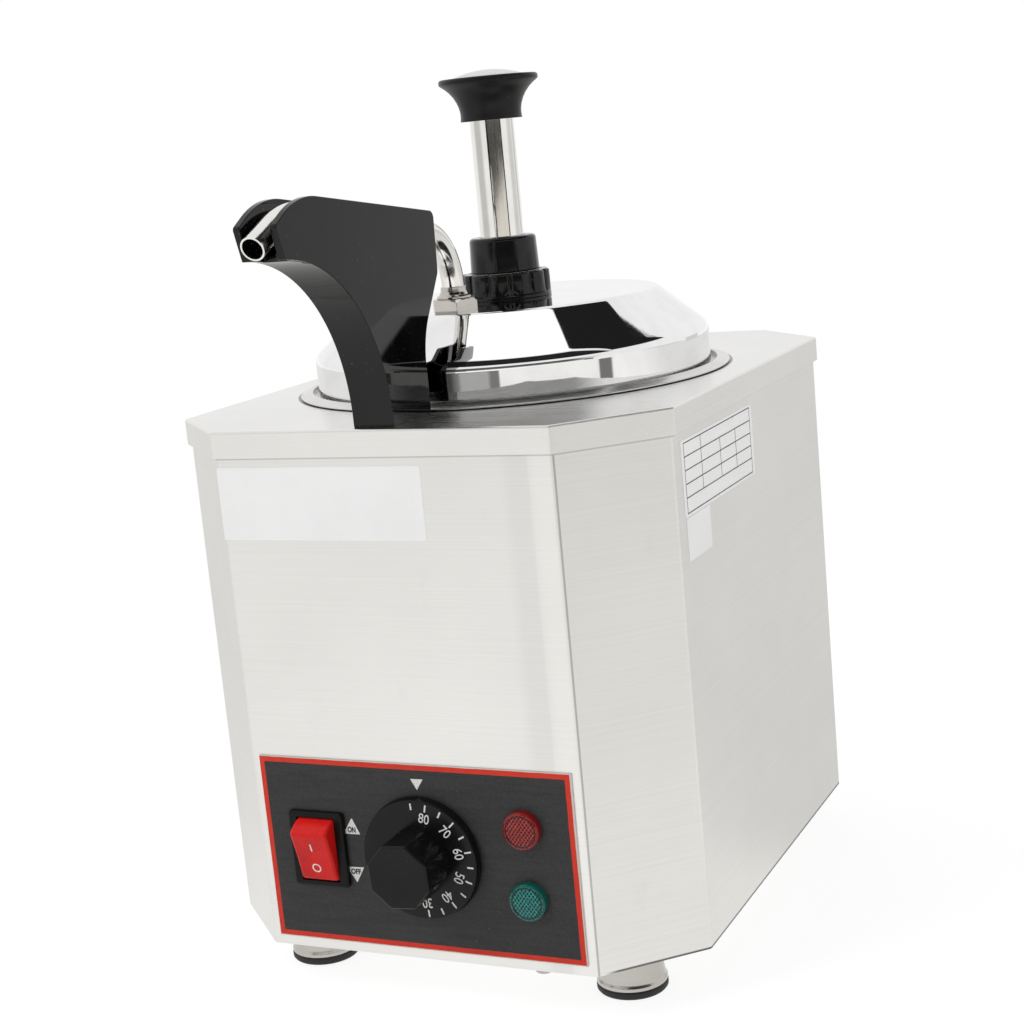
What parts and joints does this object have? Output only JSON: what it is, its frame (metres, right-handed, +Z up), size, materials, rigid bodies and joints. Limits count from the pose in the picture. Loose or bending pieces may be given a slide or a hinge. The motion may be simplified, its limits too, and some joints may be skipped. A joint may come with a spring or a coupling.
{
  "type": "topping warmer",
  "caption": "Countertop topping warmer: boxy steel housing with a water bath, lift-out pot, polished lid with a plunger pump, and a forward spout carried in a black guard.",
  "frame": {"origin": "on the surface it stands on, under the middle of the housing and the pot", "axes": "+Z up; -Y to the front, where the controls and the spout are; +X to the right as seen from the front"},
  "size_m": [0.2082, 0.3318, 0.3528],
  "materials": {
    "brushed_stainless": "brushed",
    "satin_stainless": "satin",
    "polished_stainless": "mirror polished",
    "zinc_steel": "zinc plated",
    "spring_steel": "drawn wire",
    "cast_aluminium": "cast",
    "brass_parts": "machined",
    "copper_sensor": "drawn",
    "black_gloss": "gloss",
    "black_satin": "satin",
    "black_rubber": "matte",
    "grey_rubber": "matte",
    "panel_grey": "brushed print",
    "rocker_red": "gloss",
    "lens_red": "diamond cut",
    "lens_green": "diamond cut",
    "white_plastic": "moulded",
    "cap_white": "gloss",
    "phenolic_brown": "moulded",
    "glazed_white": "glazed"
  },
  "bodies": {
    "housing": {"outer_shell": "brushed_stainless", "deck_cover": "brushed_stainless", "base_pan": "brushed_stainless", "base_screws": "zinc_steel", "foot_cup_front_left": "brushed_stainless", "foot_cup_front_right": "brushed_stainless", "foot_cup_back_left": "brushed_stainless", "foot_cup_back_right": "brushed_stainless", "foot_pad_front_left": "black_rubber", "foot_pad_front_right": "black_rubber", "foot_pad_back_left": "black_rubber", "foot_pad_back_right": "black_rubber", "foot_screws": "zinc_steel", "foot_nuts": "zinc_steel", "water_tank": "satin_stainless", "heating_plate": "cast_aluminium", "heater_clamp": "zinc_steel", "heater_nut": "zinc_steel", "control_panel": "panel_grey", "switch_body": "black_satin", "thermostat_body": "phenolic_brown", "thermostat_screws": "zinc_steel", "sensing_bulb": "copper_sensor", "bulb_clip": "satin_stainless", "red_lamp_lens": "lens_red", "red_lamp_body": "white_plastic", "green_lamp_lens": "lens_green", "green_lamp_body": "white_plastic", "lamp_nuts": "zinc_steel", "cable_gland": "black_satin", "gland_nut": "black_satin", "terminal_block": "glazed_white", "terminal_screws": "zinc_steel", "earth_stud": "brass_parts", "earth_nut": "brass_parts", "spout_guard": "black_gloss", "guard_screws": "zinc_steel"},
    "pot": {"inner_pot": "satin_stainless"},
    "lid_and_pump": {"lid": "polished_stainless", "pump_nut": "black_gloss", "gland_cap": "black_gloss", "pump_gasket": "grey_rubber", "pump_cylinder": "white_plastic", "valve_block": "white_plastic", "return_spring": "spring_steel", "discharge_tube": "polished_stainless", "tube_nut": "polished_stainless", "tube_ferrule": "polished_stainless", "tube_locknut": "polished_stainless"},
    "plunger": {"plunger_rod": "polished_stainless", "piston": "white_plastic", "piston_seal": "black_rubber", "push_knob": "black_satin", "knob_cap": "cap_white"},
    "intake_valve": {"intake_ball": "polished_stainless"},
    "discharge_valve": {"discharge_ball": "polished_stainless"},
    "rocker": {"switch_rocker": "rocker_red"},
    "dial": {"dial_knob": "black_satin", "thermostat_shaft": "spring_steel"}
  },
  "joints": [
    {"name": "pot_lift", "type": "slide", "parent": "housing", "child": "pot", "axis": [0, 0, 1], "range_m": [0, 0.018]},
    {"name": "lid_lift", "type": "slide", "parent": "pot", "child": "lid_and_pump", "axis": [0, 0.2588, 0.9659], "range_m": [0, 0.2]},
    {"name": "plunger_stroke", "type": "slide", "parent": "lid_and_pump", "child": "plunger", "axis": [0, 0, -1], "range_m": [0, 0.044], "stiffness_N_per_m": 500, "springref_m": -0.016, "deforming": ["return_spring"]},
    {"name": "intake_ball_lift", "type": "slide", "parent": "lid_and_pump", "child": "intake_valve", "axis": [0, 0, 1], "range_m": [0, 0.002]},
    {"name": "discharge_ball_lift", "type": "slide", "parent": "lid_and_pump", "child": "discharge_valve", "axis": [0, 0, 1], "range_m": [0, 0.003]},
    {"name": "switch_rock", "type": "hinge", "parent": "housing", "child": "rocker", "pos_m": [-0.0431, -0.125, 0.0618], "axis": [-1, 0, 0], "range_deg": [0, 32]},
    {"name": "dial_turn", "type": "hinge", "parent": "housing", "child": "dial", "pos_m": [0.0023, -0.125, 0.0618], "axis": [0, -1, 0], "range_deg": [-4, 176]}
  ]
}
